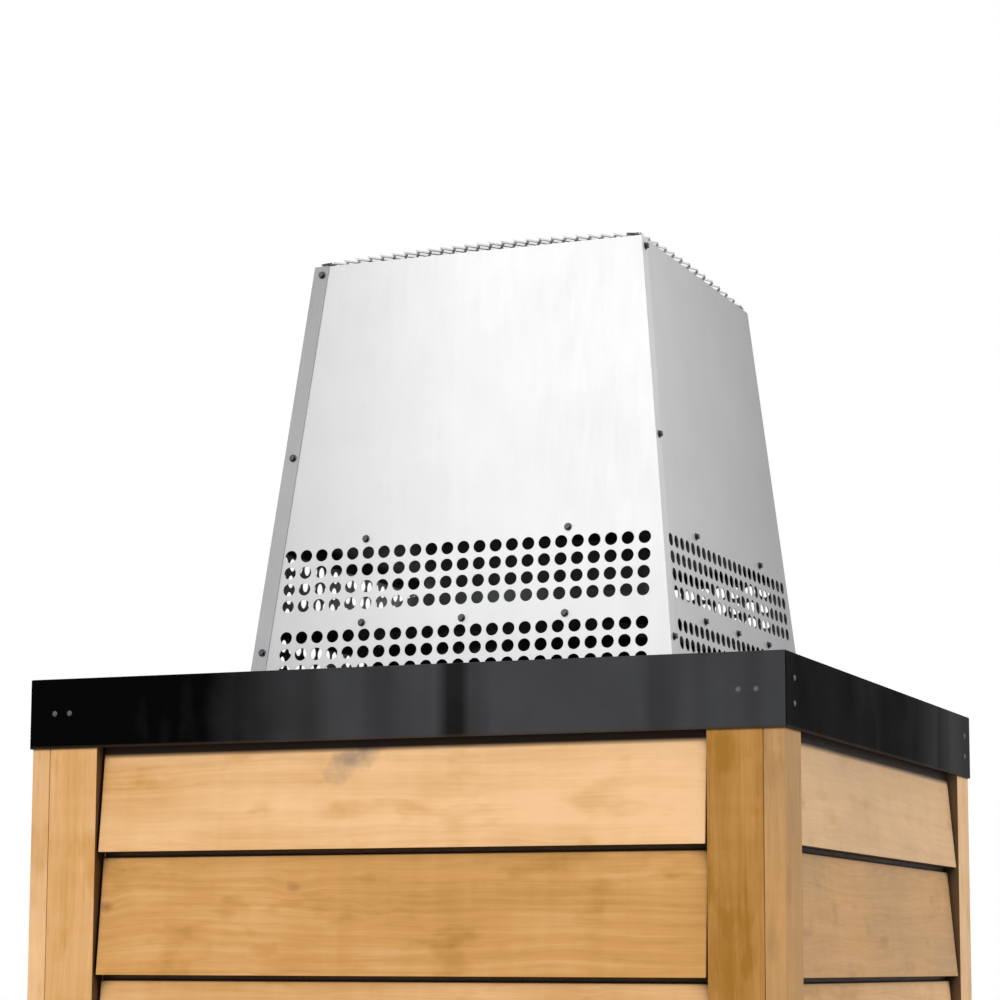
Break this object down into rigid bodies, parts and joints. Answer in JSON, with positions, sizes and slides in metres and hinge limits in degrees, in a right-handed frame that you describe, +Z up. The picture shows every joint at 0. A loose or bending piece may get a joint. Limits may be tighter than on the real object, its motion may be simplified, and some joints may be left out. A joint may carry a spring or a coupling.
{
  "type": "chimney chase top with termination cap",
  "caption": "Top of a timber chimney chase with lap siding, a black sheet-metal chase cover and a tapered, perforated steel termination cap with a domed mesh top",
  "frame": {"origin": "middle of the chase's underside, at the level of the bottom plates' undersides", "axes": "+Z up along the chimney, -Y towards the front siding, +X to the right seen from the front"},
  "size_m": [0.9824, 0.9324, 1.1171],
  "materials": {
    "cedar_siding": "planed cedar bevel siding, clear oiled, lengthwise grain with small knots",
    "cedar_corner_board": "planed cedar corner board, upright grain",
    "framing_lumber": "sawn spruce framing lumber",
    "sheathing_board": "plywood sheathing",
    "black_sheet": "black baked enamel on sheet steel, semi-gloss",
    "stainless_hood": "mill-finish stainless sheet, satin",
    "stainless_flue": "stainless pipe, satin",
    "galvanised_sheet": "galvanised sheet, fine spangle",
    "screen_wire": "expanded stainless mesh",
    "screw_steel": "zinc-plated hex washer screws, darkened"
  },
  "bodies": {
    "chase": {"front_bottom_plate": "framing_lumber", "right_bottom_plate": "framing_lumber", "back_bottom_plate": "framing_lumber", "left_bottom_plate": "framing_lumber", "front_top_plate": "framing_lumber", "right_top_plate": "framing_lumber", "back_top_plate": "framing_lumber", "left_top_plate": "framing_lumber", "front_left_stud": "framing_lumber", "front_right_stud": "framing_lumber", "back_left_stud": "framing_lumber", "back_right_stud": "framing_lumber", "front_sheathing": "sheathing_board", "right_sheathing": "sheathing_board", "back_sheathing": "sheathing_board", "left_sheathing": "sheathing_board", "front_siding_lower": "cedar_siding", "front_siding_middle": "cedar_siding", "front_siding_upper": "cedar_siding", "right_siding_lower": "cedar_siding", "right_siding_middle": "cedar_siding", "right_siding_upper": "cedar_siding", "back_siding_lower": "cedar_siding", "back_siding_middle": "cedar_siding", "back_siding_upper": "cedar_siding", "left_siding_lower": "cedar_siding", "left_siding_middle": "cedar_siding", "left_siding_upper": "cedar_siding", "front_corner_board_left": "cedar_corner_board", "front_corner_board_right": "cedar_corner_board", "right_corner_board_left": "cedar_corner_board", "right_corner_board_right": "cedar_corner_board", "back_corner_board_left": "cedar_corner_board", "back_corner_board_right": "cedar_corner_board", "left_corner_board_left": "cedar_corner_board", "left_corner_board_right": "cedar_corner_board", "starter_strips": "cedar_siding", "firestop_ledgers": "framing_lumber", "firestop_plate": "galvanised_sheet", "firestop_collar": "galvanised_sheet", "chase_cover": "black_sheet", "cover_collar": "black_sheet", "cover_rivets": "black_sheet", "storm_collar": "black_sheet", "outer_pipe": "galvanised_sheet", "middle_pipe": "galvanised_sheet", "flue_pipe": "stainless_flue", "pipe_spacers": "galvanised_sheet", "foot_brackets": "galvanised_sheet"},
    "cap": {"front_hood_panel": "stainless_hood", "right_hood_panel": "stainless_hood", "back_hood_panel": "stainless_hood", "left_hood_panel": "stainless_hood", "lower_partition": "stainless_hood", "upper_partition": "stainless_hood", "slip_collars": "stainless_hood", "rain_baffle": "stainless_hood", "hood_screws": "screw_steel"},
    "screen": {"spark_screen": "screen_wire", "screen_clips": "screw_steel"}
  },
  "joints": [
    {"name": "cap_lift", "type": "slide", "parent": "chase", "child": "cap", "axis": [0, 0, 1], "range_m": [0, 0.28]},
    {"name": "screen_lift", "type": "slide", "parent": "cap", "child": "screen", "axis": [0, 0, 1], "range_m": [0, 0.12]}
  ]
}
